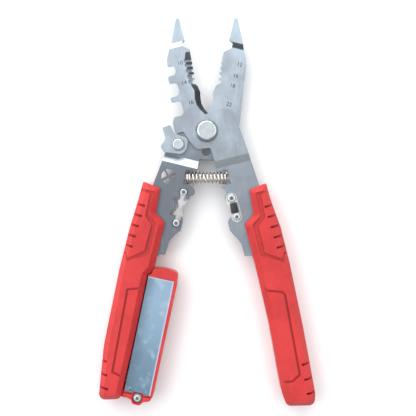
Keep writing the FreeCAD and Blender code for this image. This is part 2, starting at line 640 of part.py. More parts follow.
ear_x, ear_y = -2.4, handle_end + 9.1
ear_body = block("tray_ear", -1, [
    (ear_x, ear_y + size("ear_radius"), 0.0), (-15.0, ear_y + size("ear_radius"), 0.0),
    (-15.0, ear_y - size("ear_radius"), 0.0), (ear_x, ear_y - size("ear_radius"), 0.0),
], "-sizes.grip_thick / 2", "sizes.ear_thick")
ear_round = sketch_on(ear_body, "ear_round", x=str(ear_x), y=str(ear_y), z="-sizes.grip_thick / 2")
circle(ear_round, 0, 0, "sizes.ear_radius")
pad(ear_body, ear_round, "sizes.ear_thick", "ear_round_pad")
round_hole(ear_body, "ear_bore", str(ear_x), str(ear_y), "sizes.tray_screw_radius")
nut_pocket = sketch_on(ear_body, "ear_nut_pocket", x=str(ear_x), y=str(ear_y),
                       z="-sizes.grip_thick / 2 + sizes.tray_nut_thick")
hexagon(nut_pocket, size("tray_nut_flats") + 0.1)
cut_through(ear_body, nut_pocket, "ear_nut_pocket_cut")
left_grip = doc.addObject("Part::Fuse", "left_grip")
left_grip.Label = "left_grip"
left_grip.Base = left_sleeve
left_grip.Tool = ear_body

# ---------------------------------------------------------------- left crimping die and its pins

die_half = plate_thick / 2 + size("die_proud")
neck = 1.0
crimp_die_left = block("crimp_die_left", -1, [
    (die_x - 1.8, die_pin_top + 1.8, 1.7), (die_x - 1.7, die_pin_top - 1.5, 1.2),
    (die_x - neck, die_pin_top - 2.6, 0.5), (die_x - neck, -40.9, 0.3), (-6.6, -41.1, 0.3),
    (-5.2, -45.2, 1.5), (-7.6, -49.8, 0.3), (die_x - neck, -50.1, 0.3),
    (die_x - neck, die_pin_foot + 2.4, 0.5),
    (die_x - 1.7, die_pin_foot + 1.5, 1.2), (die_x - 1.7, die_pin_foot - 1.7, 1.6),
    (die_x + 1.7, die_pin_foot - 1.7, 1.6), (die_x + 1.7, die_pin_foot + 1.5, 1.2),
    (die_x + neck, die_pin_foot + 2.4, 0.5), (die_x + neck, -50.1, 0.3), (-1.6, -49.8, 0.3),
    (-3.2, -45.0, 1.5), (-1.0, -41.1, 0.3), (die_x + neck, -40.9, 0.3),
    (die_x + neck, die_pin_top - 2.6, 0.5),
    (die_x + 1.7, die_pin_top - 1.5, 1.2), (die_x + 1.8, die_pin_top + 1.8, 1.7),
], "-(sizes.plate_thick / 2 + sizes.die_proud)", "sizes.plate_thick + 2 * sizes.die_proud")
pin_radius, pin_head = size("die_pin_radius"), size("die_pin_head_radius")
pin_top = die_half + size("die_pin_head_height")
pin_back = -plate_thick / 2
for name, along in (("die_pin_upper", die_pin_top), ("die_pin_lower", die_pin_foot)):
    eye_back = sketch_on(crimp_die_left, name + "_eye", x=str(die_x), y=str(along),
                         z="-sizes.plate_thick / 2 + sizes.die_floor")
    circle(eye_back, 0, 0, "sizes.die_counterbore_radius + 0.15")
    cut_through(crimp_die_left, eye_back, name + "_eye_cut")
    round_hole(crimp_die_left, name + "_bore", str(die_x), str(along), "sizes.die_pin_radius")
    turned(name, -1, str(die_x), str(along), [
        (0, pin_back - 0.8), (pin_head, pin_back - 0.8, 0.4), (pin_head, pin_back),
        (pin_radius, pin_back), (pin_radius, die_half), (pin_head, die_half),
        (pin_head, pin_top, 0.5), (0, pin_top),
    ])

# ---------------------------------------------------------------- right die: seat, insert, screws

seat_top_x, seat_top_y = 4.6, -40.0
seat_low_x, seat_low_y = 5.0, -50.8
face_height = plate_thick / 2


def obround(sketch, radius):
    """Long round-ended slot shape between the two screws."""
    along = Vector(seat_low_x - seat_top_x, seat_low_y - seat_top_y, 0).normalize()
    across = Vector(-along.y, along.x, 0)
    high, low = Vector(seat_top_x, seat_top_y, 0), Vector(seat_low_x, seat_low_y, 0)
    out, on = across * radius, along * radius
    sketch.addGeometry(Part.Arc(high + out, high - on, high - out), False)
    sketch.addGeometry(Part.LineSegment(high - out, low - out), False)
    sketch.addGeometry(Part.Arc(low - out, low + on, low + out), False)
    sketch.addGeometry(Part.LineSegment(low + out, high + out), False)


crimp_seat_right = piece("crimp_seat_right", 1)
seat_sketch = sketch_on(crimp_seat_right, "seat_outline", z="sizes.plate_thick / 2")
obround(seat_sketch, size("seat_radius"))
pad(crimp_seat_right, seat_sketch, "sizes.seat_height", "seat_pad")
recess = sketch_on(crimp_seat_right, "seat_recess", z="sizes.plate_thick / 2 + sizes.seat_height")
obround(recess, size("seat_radius") - size("seat_rim"))
cut_down(crimp_seat_right, recess, "sizes.seat_height - sizes.seat_floor", "seat_recess_cut")
seat_inside = face_height + size("seat_floor")
screw_top = seat_inside + size("screw_head_height")
screws = [
    ("crimp_screw_upper", seat_top_x, seat_top_y, size("upper_screw_head_radius")),
    ("crimp_screw_lower", seat_low_x, seat_low_y, size("lower_screw_head_radius")),
]
for name, x, y, head in screws:
    for holder in (crimp_seat_right, front_plate):
        hole_name = "%s_in_%s" % (name, holder.Label)
        round_hole(holder, hole_name, str(x), str(y), "sizes.seat_screw_radius")
    shank = size("seat_screw_radius")
    screw = turned(name, 1, str(x), str(y), [
        (0, -face_height - 0.8), (shank + 0.5, -face_height - 0.8, 0.4), (shank + 0.5, -face_height),
        (shank, -face_height), (shank, seat_inside), (head, seat_inside), (head, screw_top, 0.7),
        (0, screw_top),
    ])
    slots = sketch_on(screw, name + "_cross", x=str(x), y=str(y), z=str(screw_top))
    arm, slot = 0.62 * head, 0.24
    outline(slots, [
        (arm, -slot), (arm, slot), (slot, slot), (slot, arm), (-slot, arm), (-slot, slot), (-arm, slot),
        (-arm, -slot), (-slot, -slot), (-slot, -arm), (slot, -arm), (slot, -slot),
    ])
    cut_down(screw, slots, "sizes.screw_head_height * 0.6", name + "_cross_cut")

insert_top = seat_top_y - size("upper_screw_head_radius") - 0.3
insert_foot = seat_low_y + size("lower_screw_head_radius") + 0.3
crimp_insert_right = block("crimp_insert_right", 1, [
    (3.0, insert_top, 0.3), (2.5, insert_foot, 0.3), (6.9, insert_foot, 0.3),
    (6.8, insert_top, 0.3),
], "sizes.plate_thick / 2 + sizes.seat_floor", "sizes.seat_height - sizes.seat_floor - 0.1")

# ---------------------------------------------------------------- storage tray

tray_foot_rule = "(-sizes.grip_thick / 2 + sizes.ear_thick + sizes.tray_play)"
tray_foot = -grip_front + size("ear_thick") + size("tray_play")
tray_front = tray_foot + size("tray_depth")
tray_front_rule = "(%s + sizes.tray_depth)" % tray_foot_rule
lean = math.radians(1.8)


def on_tray(right, up):
    """A point measured along the tray's own lean from its pivot."""
    cosine, sine = math.cos(lean), math.sin(lean)
    return (ear_x + right * cosine - up * sine, ear_y + right * sine + up * cosine)


cover_low, cover_high = 1.5, size("tray_length") - 5.8
cover_left, cover_right = -7.9, 6.8
wall_right = cover_right + size("window_play") + size("tray_wall")
top_edge = size("tray_length")
tray = block("tray", -1, [
    on_tray(cover_left - 0.2, cover_high + 0.4) + (0.4,),
    on_tray(cover_left + 1.6, cover_high + 2.0) + (0.4,),
    on_tray(cover_left + 2.2, top_edge - 0.8) + (0.8,),
    on_tray(0.5, top_edge + 0.2) + (8,),
    on_tray(wall_right - 0.6, top_edge - 0.4) + (3.0,),
    on_tray(wall_right + 0.1, top_edge - 8) + (4,),
    on_tray(wall_right - 0.2, 3.0) + (3.0,), on_tray(wall_right - 1.2, -0.2) + (2.2,),
    on_tray(3.4, -1.6) + (1.5,), on_tray(2.2, -3.7) + (1.6,), on_tray(-2.2, -3.7) + (1.6,),
    on_tray(-3.4, -1.4) + (1.5,), on_tray(cover_left - 0.2, 0.0) + (0.8,),
], tray_foot_rule, "sizes.tray_depth")
play = size("window_play")
sink = sketch_on(tray, "cover_recess", z=tray_front_rule)
outline(sink, [
    on_tray(cover_left - 3, cover_high + play), on_tray(cover_left - 3, cover_low - play),
    on_tray(cover_right + play, cover_low - play), on_tray(cover_right + play, cover_high + play),
])
cut_down(tray, sink, "sizes.window_thick + sizes.window_sink", "cover_recess_cut")
ledge = 1.1
hollow = sketch_on(tray, "tray_hollow", z=tray_front_rule)
boss_top = 6.6
outline(hollow, [
    on_tray(cover_left - 3, cover_high - ledge), on_tray(cover_left - 3, boss_top),
    on_tray(cover_right - ledge, boss_top) + (1.5,),
    on_tray(cover_right - ledge, cover_high - ledge) + (1.5,),
])
cut_down(tray, hollow, "sizes.tray_depth - sizes.tray_back", "tray_hollow_cut")
round_hole(tray, "tray_bore", str(ear_x), str(ear_y), "sizes.tray_screw_radius + sizes.running_gap")

cover_foot_rule = "%s - sizes.window_sink - sizes.window_thick" % tray_front_rule
notch_side = size("eyelet_radius") + 0.4
tray_window = block("tray_window", -1, [
    on_tray(cover_left, cover_high), on_tray(cover_left, cover_low + 1.0) + (0.4,),
    on_tray(-notch_side - 0.1, cover_low + 0.6), on_tray(-notch_side - 0.1, cover_low + 1.8) + (1.2,),
    on_tray(notch_side + 0.1, cover_low + 1.8) + (1.2,), on_tray(notch_side + 0.1, cover_low + 0.6),
    on_tray(cover_right, cover_low + 1.0) + (0.4,), on_tray(cover_right, cover_high),
], cover_foot_rule, "sizes.window_thick")
pin_x, pin_y = on_tray(-5.0, 3.9)
round_hole(tray_window, "cover_rivet_hole", str(pin_x), str(pin_y), "sizes.window_pin_radius")
cover_top = tray_front - size("window_sink")
cover_foot = cover_top - size("window_thick")
rivet = size("window_pin_radius")
tray_cover_rivet = turned("tray_cover_rivet", -1, str(pin_x), str(pin_y), [
    (0, cover_foot - 3.0), (rivet, cover_foot - 3.0), (rivet, cover_top), (rivet + 0.5, cover_top),
    (rivet + 0.5, cover_top + 0.35, 0.2), (0, cover_top + 0.35),
])
round_hole(tray, "tray_rivet_hole", str(pin_x), str(pin_y), "sizes.window_pin_radius")

# tray pivot: washer, screw, and a nut in the ear of the left grip
screw_shank = size("tray_screw_radius")
tray_eyelet = turned("tray_eyelet", -1, str(ear_x), str(ear_y), [
    (screw_shank + 0.05, cover_foot), (size("eyelet_radius"), cover_foot),
    (size("eyelet_radius"), cover_foot + 0.9, 0.3), (screw_shank + 0.05, cover_foot + 0.9),
])
seat_well = sketch_on(tray, "eyelet_well", x=str(ear_x), y=str(ear_y), z=tray_front_rule)
circle(seat_well, 0, 0, "sizes.eyelet_radius + 0.3")
cut_down(tray, seat_well, "sizes.window_thick + sizes.window_sink + 0.05", "eyelet_well_cut")
head = size("tray_screw_head_radius")
tray_pivot_screw = turned("tray_pivot_screw", -1, str(ear_x), str(ear_y), [
    (0, -grip_front + 0.3), (screw_shank, -grip_front + 0.3), (screw_shank, cover_foot + 0.9),
    (head, cover_foot + 0.9), (head, cover_foot + 1.9, 0.6), (0, cover_foot + 1.9),
])
tray_pivot_nut = nut("tray_pivot_nut", -1, str(ear_x), str(ear_y), size("tray_nut_flats"),
                     "sizes.tray_screw_radius", "-sizes.grip_thick / 2 + 0.1", "sizes.tray_nut_thick - 0.1")

# ---------------------------------------------------------------- check and write

doc.recompute()
faults = [o.Name for o in doc.Objects if "Invalid" in o.State or "Error" in o.State]
if faults:
    raise RuntimeError("failed: " + ", ".join(faults))

NODES = [
    "front_plate", "rear_plate", "pivot_bolt", "pivot_washer", "pivot_nut", "latch_lever", "latch_bolt",
    "latch_washer", "latch_nut", "return_spring", "left_grip", "right_grip", "crimp_die_left",
    "die_pin_upper", "die_pin_lower", "crimp_seat_right", "crimp_insert_right", "crimp_screw_upper",
    "crimp_screw_lower", "tray", "tray_window", "tray_cover_rivet", "tray_eyelet", "tray_pivot_screw",
    "tray_pivot_nut",
]
os.makedirs("parts", exist_ok=True)
for node in NODES:
    shape = doc.getObjectsByLabel(node)[0].Shape
    if shape.isNull() or not shape.isValid() or len(shape.Solids) != 1:
        raise RuntimeError("bad shape: %s (%d solids)" % (node, len(shape.Solids)))
    shape.exportStep("parts/%s.step" % node)
    print("%-22s %9.1f mm3" % (node, shape.Volume))
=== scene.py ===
import json
import math

import bmesh
import bpy
from mathutils import Matrix, Vector

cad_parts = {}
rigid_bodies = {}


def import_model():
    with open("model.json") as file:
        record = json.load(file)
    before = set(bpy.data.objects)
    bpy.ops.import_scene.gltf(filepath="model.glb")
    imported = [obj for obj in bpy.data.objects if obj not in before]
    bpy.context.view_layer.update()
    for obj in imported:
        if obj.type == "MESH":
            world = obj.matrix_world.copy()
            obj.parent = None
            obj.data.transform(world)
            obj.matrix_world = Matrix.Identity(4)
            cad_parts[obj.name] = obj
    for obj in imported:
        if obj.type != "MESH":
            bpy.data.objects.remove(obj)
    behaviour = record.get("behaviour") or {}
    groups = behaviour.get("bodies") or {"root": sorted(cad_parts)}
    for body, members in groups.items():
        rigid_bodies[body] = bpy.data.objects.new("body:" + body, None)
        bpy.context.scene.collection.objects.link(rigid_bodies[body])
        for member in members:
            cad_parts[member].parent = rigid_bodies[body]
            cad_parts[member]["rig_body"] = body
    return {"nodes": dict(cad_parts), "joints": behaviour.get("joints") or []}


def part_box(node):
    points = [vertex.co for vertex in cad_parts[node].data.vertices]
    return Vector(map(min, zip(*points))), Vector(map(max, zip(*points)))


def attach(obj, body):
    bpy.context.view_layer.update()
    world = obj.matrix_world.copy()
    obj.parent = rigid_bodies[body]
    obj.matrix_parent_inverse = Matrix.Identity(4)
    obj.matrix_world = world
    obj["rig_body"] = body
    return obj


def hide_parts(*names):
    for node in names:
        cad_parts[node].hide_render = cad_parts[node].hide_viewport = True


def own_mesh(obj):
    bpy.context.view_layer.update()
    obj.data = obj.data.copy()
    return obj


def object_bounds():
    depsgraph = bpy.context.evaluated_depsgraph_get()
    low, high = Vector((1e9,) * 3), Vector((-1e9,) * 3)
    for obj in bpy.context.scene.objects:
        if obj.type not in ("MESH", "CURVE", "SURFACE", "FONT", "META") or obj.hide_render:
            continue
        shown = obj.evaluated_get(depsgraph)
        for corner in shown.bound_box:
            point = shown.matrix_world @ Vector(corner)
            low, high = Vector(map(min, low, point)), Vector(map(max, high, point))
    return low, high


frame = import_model()
cad_low, cad_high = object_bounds()
scene = bpy.context.scene


# ---------------------------------------------------------------- the two stamped plates
# Two halves of 4 mm tool steel, blanked, bent twice so that the noses and handles lie level,
# then surface ground and tumbled. The jaws are ground to an edge with five fluted wire holes.

OPEN_ANGLE = math.radians(13.65)
PLATE_EDGE_BREAK = 0.00022
HANDLE_TOP, HANDLE_FOOT = 0.002, -0.022
# painted shade for the handle ends of the plates
HANDLE_SHADE_STEEL = (0.18, 0.2, 0.23, 1)
NOSE_FOOT, NOSE_TOP = 0.036, 0.058
# painted highlight for the jaw tips
NOSE_HIGHLIGHT_STEEL = (0.62, 0.77, 0.87, 1)
# painted shade for the jaw bevels, the backward nose bend faces and the handle cutout walls
PAINTED_SHADE_STEEL = (0.07, 0.068, 0.07, 1)
# painted highlight for the bent ramps
PAINTED_HIGHLIGHT_STEEL = (0.84, 0.9, 0.93, 1)
STEEL_LIGHT = (0.475, 0.535, 0.6, 1)
STEEL_DARK = (0.335, 0.38, 0.43, 1)


class Field:
    """A number that varies over a surface. Arithmetic on it adds Math nodes."""

    def __init__(self, finish, socket):
        self.finish = finish
        self.socket = socket

    def math(self, operation, first, second=0.0):
        return self.finish.add("ShaderNodeMath", {"operation": operation}, {0: first, 1: second})

    def __add__(self, other):
        return self.math("ADD", self, other)

    def __sub__(self, other):
        return self.math("SUBTRACT", self, other)

    def __rsub__(self, other):
        return self.math("SUBTRACT", other, self)

    def __mul__(self, other):
        return self.math("MULTIPLY", self, other)

    __radd__ = __add__
    __rmul__ = __mul__


class Finish:
    """A material as it is mixed. add() makes any node; the rest are short names for common ones."""

    def __init__(self, name, **fixed):
        self.material = bpy.data.materials.new(name)
        self.material.use_nodes = True
        self.tree = self.material.node_tree
        self.shader = self.tree.nodes["Principled BSDF"]
        for word, amount in fixed.items():
            self.shader.inputs[word.replace("_", " ")].default_value = amount
        self.place = self.add("ShaderNodeTexCoord", {}, {}, "Object")

    def add(self, kind, settings, sockets, output=0):
        node = self.tree.nodes.new(kind)
        for word, setting in settings.items():
            setattr(node, word, setting)
        for key, given in sockets.items():
            if isinstance(given, Field):
                self.tree.links.new(given.socket, node.inputs[key])
            else:
                node.inputs[key].default_value = given
        return Field(self, node.outputs[output])

    def moved(self, turn=(0, 0, 0), stretch=(1, 1, 1), shift=(0, 0, 0)):
        return self.add("ShaderNodeMapping", {}, {
            "Vector": self.place, "Location": shift, "Rotation": turn, "Scale": stretch,
        })

    def part(self, value, axis):
        """One coordinate of a position."""
        return self.add("ShaderNodeSeparateXYZ", {}, {"Vector": value}, axis)

    def mark(self, word):
        """What was noted on each face of the piece under this word, 0 to 1."""
        return self.add("ShaderNodeAttribute", {"attribute_name": word}, {}, "Fac")

    def cloud(self, scale, detail=3.0, place=None, roughness=0.55):
        return self.add("ShaderNodeTexNoise", {}, {
            "Vector": place or self.place, "Scale": scale, "Detail": detail, "Roughness": roughness,
        })

    def band(self, value, low, high, bottom=0.0, top=1.0):
        """value read between low and high, as bottom to top, and held flat past both."""
        return self.add("ShaderNodeMapRange", {"interpolation_type": "SMOOTHSTEP"}, {
            "Value": value, "From Min": low, "From Max": high, "To Min": bottom, "To Max": top,
        })

    def blend(self, share, first, second):
        return self.add("ShaderNodeMix", {"data_type": "RGBA"}, {0: share, 6: first, 7: second}, 2)

    def height(self, value, depth, strength=1.0):
        return self.add("ShaderNodeBump", {}, {
            "Height": value, "Distance": depth, "Strength": strength,
        })

    def apply(self, **fed):
        """Feeds the shader's sockets from fields."""
        for word, field in fed.items():
            self.tree.links.new(field.socket, self.shader.inputs[word.replace("_", " ")])
        return self.material


def steel(name, turn, light, dark, coarse, handle_shade=0.0):
    """Ground steel: fine lines along the piece, cloudy patches and a few short scratches.

    The last argument is how much painted shade darkens a plate's handle end; plates also get a
    painted highlight towards their noses and the painted shade and highlights noted on their faces.
    """
    finish = Finish(name, Metallic=1.0)
    along = finish.moved(turn=(0, 0, turn), stretch=(1, 0.06, 1))
    lines = finish.cloud(2600, 4, along, 0.7)
    patches = finish.cloud(70, 3)
    speckle = finish.cloud(1500, 2)
    scratch_place = finish.moved(turn=(0, 0, turn + 0.7), stretch=(1, 0.03, 1))
    scratches = finish.band(finish.cloud(900, 2, scratch_place), 0.66, 0.74)
    shade = finish.band(patches * 0.6 + lines * 0.4, 0.38, 0.64)
    tone = finish.blend(shade, dark, light)
    if handle_shade:
        # painted shade darkening the handle end
        handle = finish.band(finish.part(finish.place, "Y"), HANDLE_TOP, HANDLE_FOOT)
        tone = finish.blend(handle * handle_shade, tone, HANDLE_SHADE_STEEL)
        # painted highlight towards the nose
        nose = finish.band(finish.part(finish.place, "Y"), NOSE_FOOT, NOSE_TOP)
        tone = finish.blend(nose * 0.4, tone, NOSE_HIGHLIGHT_STEEL)
        # painted shade on the faces noted for it
        tone = finish.blend(finish.mark("painted_shade"), tone, PAINTED_SHADE_STEEL)
        # painted highlight on the faces noted for it
        tone = finish.blend(finish.mark("painted_highlight"), tone, PAINTED_HIGHLIGHT_STEEL)
    tone = finish.blend(scratches * 0.14, tone, (0.75, 0.77, 0.8, 1))
    rough = coarse + patches * 0.12 + speckle * 0.08 - scratches * 0.08
    relief = finish.height(lines * 0.7 + speckle * 0.3 + scratches * 0.4, 0.00002, 0.6)
    return finish.apply(Base_Color=tone, Roughness=rough, Normal=relief)


SHARP = math.radians(28)
LEVEL = math.radians(0.6)
SMOOTH_BELOW = math.radians(50)


def break_edges(shell, width, segments, clamp=True, chosen=None):
    """Rounds every sharp edge of a bmesh, or those of them that chosen(edge) is true of."""
    edges = [edge for edge in shell.edges
             if len(edge.link_faces) == 2 and edge.calc_face_angle() > SHARP]
    if chosen:
        edges = [edge for edge in edges if chosen(edge)]
    bmesh.ops.bevel(shell, geom=edges, offset=width, offset_type="OFFSET", segments=segments,
                    profile=0.5, affect="EDGES", clamp_overlap=clamp, material=-1)


def dressed(node, name, width, segments=2, weld=1e-6, first=None):
    """The CAD node's shape with its edges broken, after any work that first(shell) does on it."""
    shell = bmesh.new()
    shell.from_mesh(frame["nodes"][node].data)
    bmesh.ops.remove_doubles(shell, verts=shell.verts, dist=weld)
    bmesh.ops.dissolve_limit(shell, angle_limit=LEVEL, verts=shell.verts, edges=shell.edges)
    if first:
        first(shell)
    break_edges(shell, width, segments)
    return finished(shell, name, node)


def finished(shell, name, *nodes):
    """Turns a bmesh into the piece that stands for these CAD nodes and rides with the first."""
    mesh = bpy.data.meshes.new(name)
    shell.to_mesh(mesh)
    shell.free()
    mesh.shade_smooth()
    mesh.set_sharp_from_angle(angle=SMOOTH_BELOW)
    piece = bpy.data.objects.new(name, mesh)
    scene.collection.objects.link(piece)
    flatten = piece.modifiers.new("flat_faces", "WEIGHTED_NORMAL")
    flatten.keep_sharp = True
    flatten.weight = 100
    body = frame["nodes"][nodes[0]]["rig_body"]
    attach(piece, body)
    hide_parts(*nodes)
    return piece


def noted(piece, word, judge):
    """Notes judge(face) on every face of the piece, for its material to read."""
    note = piece.data.attributes.new(word, "FLOAT", "FACE")
    for face in piece.data.polygons:
        note.data[face.index].value = judge(face)


def painted(piece, material):
    piece.data.materials.clear()
    piece.data.materials.append(material)
    return piece


NOSE_BEND = (0.0485, 0.0535)
HANDLE_BEND = (-0.0225, -0.017)
JAW_EDGE, JAW_EDGE_REACH = (0.0092, 0.0462), 0.0034
HANDLE_CUTOUTS, CUTOUTS_REACH = (-0.07, -0.023), 0.0195
# each wire hole's place along the jaw, and how far its flute reaches to either side
FLUTES = [(0.0409, 0.0007), (0.0382, 0.0009), (0.0352, 0.0011), (0.0319, 0.0014), (0.0289, 0.0016)]


def between(value, limits):
    return limits[0] < value < limits[1]


def in_closed_tool(face, turn):
    """Where a face of a half is, and which way it faces, when the tool is closed."""
    closed = Matrix.Rotation(-turn, 3, "Z")
    return closed @ face.center, closed @ face.normal


def painted_shade_face(turn):
    """Judges how much painted shade each face gets: the bevel sharpened along a jaw's edge, less
    over its flutes, the nose bend's faces turned back, and the walls cut through the handle end.
    """
    def judge(face):
        place, facing = in_closed_tool(face, turn)
        if between(place.y, NOSE_BEND) and -0.9 < facing.y < -0.35:
            return 0.75
        upright = abs(facing.z) < 0.3
        if upright and between(place.y, HANDLE_CUTOUTS) and abs(place.x) < CUTOUTS_REACH:
            return 0.85
        sloping = 0.3 < abs(facing.z) < 0.9
        beside_edge = abs(place.x) < JAW_EDGE_REACH and between(place.y, JAW_EDGE)
        fluted = any(abs(place.y - along) < reach for along, reach in FLUTES)
        return 0.9 * (sloping and beside_edge) * (0.15 if fluted else 1.0)
    return judge


def bend_highlight_face(turn):
    """Judges the painted highlight on the faces of the two bends, brightest on the nose bend."""
    def judge(face):
        place, facing = in_closed_tool(face, turn)
        if between(place.y, HANDLE_BEND) and facing.z > 0.5:
            return 0.5 if facing.y > 0.2 else 0.3 * (facing.y < -0.2)
        return 0.95 * (between(place.y, NOSE_BEND) and facing.y > 0.35 and facing.z > 0.5)
    return judge


# how much painted shade each plate's handle end gets
for half, turn, handle_shade in (("front", OPEN_ANGLE, 0.5), ("rear", -OPEN_ANGLE, 0.95)):
    plate_steel = steel(half + "_plate_steel", turn, STEEL_LIGHT, STEEL_DARK, 0.27, handle_shade)
    plate = dressed(half + "_plate", half + "_half_plate", PLATE_EDGE_BREAK)
    # which faces get painted shade
    noted(plate, "painted_shade", painted_shade_face(turn))
    # which faces get a painted highlight
    noted(plate, "painted_highlight", bend_highlight_face(turn))
    painted(plate, plate_steel)


# ---------------------------------------------------------------- gauge numbers
# Plain wire sizes beside the holes of each jaw, blackened into the steel by a laser after
# grinding. They lie level with the face, so they are only a film thick.

NUMBER_HEIGHT = 0.0031
NUMBER_PROUD = 0.00002
FRONT_JAW_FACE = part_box("front_plate")[1].z
REAR_JAW_FACE = 0.00775

marking = Finish("laser_mark", Roughness=0.75, Specular_IOR_Level=0.1)
burn = marking.band(marking.cloud(3000, 2), 0.35, 0.65)
marking.apply(Base_Color=marking.blend(burn, (0.012, 0.012, 0.014, 1), (0.05, 0.052, 0.06, 1)))


def number(word, name, x, y, z, turn, body):
    """One number, laid flat on a plate at a point of the closed tool."""
    curve = bpy.data.curves.new(name, "FONT")
    curve.body = word
    curve.size = NUMBER_HEIGHT
    curve.align_x = "CENTER"
    curve.align_y = "CENTER"
    curve.extrude = NUMBER_PROUD / 2
    letters = bpy.data.objects.new(name + "_curve", curve)
    scene.collection.objects.link(letters)
    bpy.context.view_layer.update()
    mesh = bpy.data.meshes.new_from_object(letters)
    bpy.data.objects.remove(letters)
    place = Matrix.Rotation(turn, 4, "Z") @ Matrix.Translation((x, y, 0))
    mesh.transform(Matrix.Translation((0, 0, z + NUMBER_PROUD / 2)) @ place)
    piece = bpy.data.objects.new(name, mesh)
    scene.collection.objects.link(piece)
    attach(piece, body)
    return painted(piece, marking.material)


MARKS = {
    "front": [("10", -0.0055, 0.0402), ("14", -0.0060, 0.0290), ("16", -0.0049, 0.0175)],
    "rear": [("12", 0.0091, 0.0412), ("16", 0.0086, 0.0345), ("18", 0.0080, 0.0285),
             ("22", 0.0086, 0.0178)],
}
jaw_faces = (("front", OPEN_ANGLE, FRONT_JAW_FACE), ("rear", -OPEN_ANGLE, REAR_JAW_FACE))
for half, turn, level in jaw_faces:
    for index, (word, x, y) in enumerate(MARKS[half]):
        number(word, "%s_mark_%d" % (half, index), x, y, level, turn, half + "_half")


# ---------------------------------------------------------------- bolts, washers and nuts
# Turned and polished steel: the main bolt, the latch bolt, the screws of the right die, the pins
# of the left die and the tray screw. Nickel plated, with faint rings left by the lathe.

def turned_steel(name, node, light, dark, coarse, hollow_shade_radius=0.0):
    """Lathe-turned metal. The last argument is the radius of a dark spot painted in the middle of
    its head as the shade of a hollow.
    """
    finish = Finish(name, Metallic=1.0)
    low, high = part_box(node)
    middle = (low + high) / 2
    centred = finish.moved(shift=tuple(-middle))
    rings = finish.add("ShaderNodeTexWave", {"wave_type": "RINGS", "rings_direction": "Z"}, {
        "Vector": centred, "Scale": 1400.0, "Distortion": 1.5, "Detail": 2.0,
    })
    patches = finish.cloud(500, 3)
    tone = finish.blend(finish.band(patches, 0.3, 0.7), dark, light)
    # painted shade of a hollow in the middle of the head
    if hollow_shade_radius:
        flat = finish.add("ShaderNodeVectorMath", {"operation": "MULTIPLY"},
                          {0: centred, 1: (1, 1, 0)})
        from_axis = finish.add("ShaderNodeVectorMath", {"operation": "LENGTH"}, {0: flat}, 1)
        hollow_shade = finish.band(from_axis, 0.7 * hollow_shade_radius, hollow_shade_radius, 1.0, 0.0)
        tone = finish.blend(hollow_shade * 0.85, tone, (0.1, 0.11, 0.12, 1))
    rough = coarse + patches * 0.1
    return finish.apply(Base_Color=tone, Roughness=rough,
                        Normal=finish.height(rings * 0.5 + patches * 0.5, 0.000005, 0.4))


BRIGHT, BRIGHT_SHADE = (0.68, 0.73, 0.75, 1), (0.6, 0.65, 0.67, 1)
DULL, DULL_SHADE = (0.34, 0.37, 0.4, 1), (0.24, 0.26, 0.29, 1)
DARK = (0.13, 0.14, 0.15, 1)
# the CAD node, the piece, its edge break, roughness, two tones and the radius of the painted
# shade spot on its head
turned_pieces = [
    ("pivot_bolt", "main_bolt", 0.0002, 0.16, BRIGHT, BRIGHT_SHADE, 0),
    # the main washer is toned dark as painted shade round the bolt head
    ("pivot_washer", "main_washer", 0.0001, 0.3, DULL_SHADE, DARK, 0),
    ("pivot_nut", "main_nut", 0.0003, 0.25, BRIGHT, BRIGHT_SHADE, 0),
    ("latch_bolt", "latch_bolt_polished", 0.0001, 0.18, BRIGHT, BRIGHT_SHADE, 0),
    ("latch_washer", "latch_washer_polished", 0.00006, 0.3, DULL, DULL_SHADE, 0),
    ("latch_nut", "latch_nut_polished", 0.0002, 0.25, BRIGHT, BRIGHT_SHADE, 0),
    ("die_pin_upper", "upper_die_pin", 0.0001, 0.2, BRIGHT, BRIGHT_SHADE, 0.0012),
    ("die_pin_lower", "lower_die_pin", 0.0001, 0.2, BRIGHT, BRIGHT_SHADE, 0.0012),
    ("crimp_screw_upper", "upper_die_screw", 0.00008, 0.2, BRIGHT, BRIGHT_SHADE, 0.0012),
    ("crimp_screw_lower", "lower_die_screw", 0.00008, 0.2, BRIGHT, BRIGHT_SHADE, 0.0011),
    ("tray_pivot_screw", "tray_screw", 0.0001, 0.22, BRIGHT, BRIGHT_SHADE, 0.0011),
    ("tray_eyelet", "tray_washer", 0.00008, 0.25, DULL, DULL_SHADE, 0),
    ("tray_pivot_nut", "tray_nut", 0.0001, 0.3, BRIGHT, BRIGHT_SHADE, 0),
    ("tray_cover_rivet", "cover_rivet", 0.00006, 0.3, DULL, DULL_SHADE, 0.0008),
]
for node, name, width, coarse, light, dark, hollow_shade_radius in turned_pieces:
    metal = turned_steel(name + "_metal", node, light, dark, coarse, hollow_shade_radius)
    painted(dressed(node, name, width), metal)


# ---------------------------------------------------------------- thumb latch
# A lever stamped from the same steel and tumbled so that its corners are soft. It turns on its
# own bolt, and the thumb pushes it under the left jaw's shoulder to keep the tool shut.

latch_steel = steel("latch_steel", 0.4, (0.48, 0.55, 0.62, 1), (0.36, 0.415, 0.47, 1), 0.26)
painted(dressed("latch_lever", "thumb_latch", 0.0003), latch_steel)


# ---------------------------------------------------------------- crimping dies
# Small hardened dies: a double wedge riveted into the left plate, and on the right one a long
# cup held by two screws, with a blackened insert between them.

die_steel = steel("die_steel", 0.2, (0.8, 0.79, 0.78, 1), (0.46, 0.45, 0.44, 1), 0.2)
painted(dressed("crimp_die_left", "left_die", 0.00015), die_steel)
painted(dressed("crimp_seat_right", "right_die_cup", 0.0001), die_steel)
black_steel = steel("black_insert_steel", 0.0, (0.1, 0.1, 0.11, 1), (0.04, 0.04, 0.045, 1), 0.35)
painted(dressed("crimp_insert_right", "right_die_insert", 0.0001), black_steel)
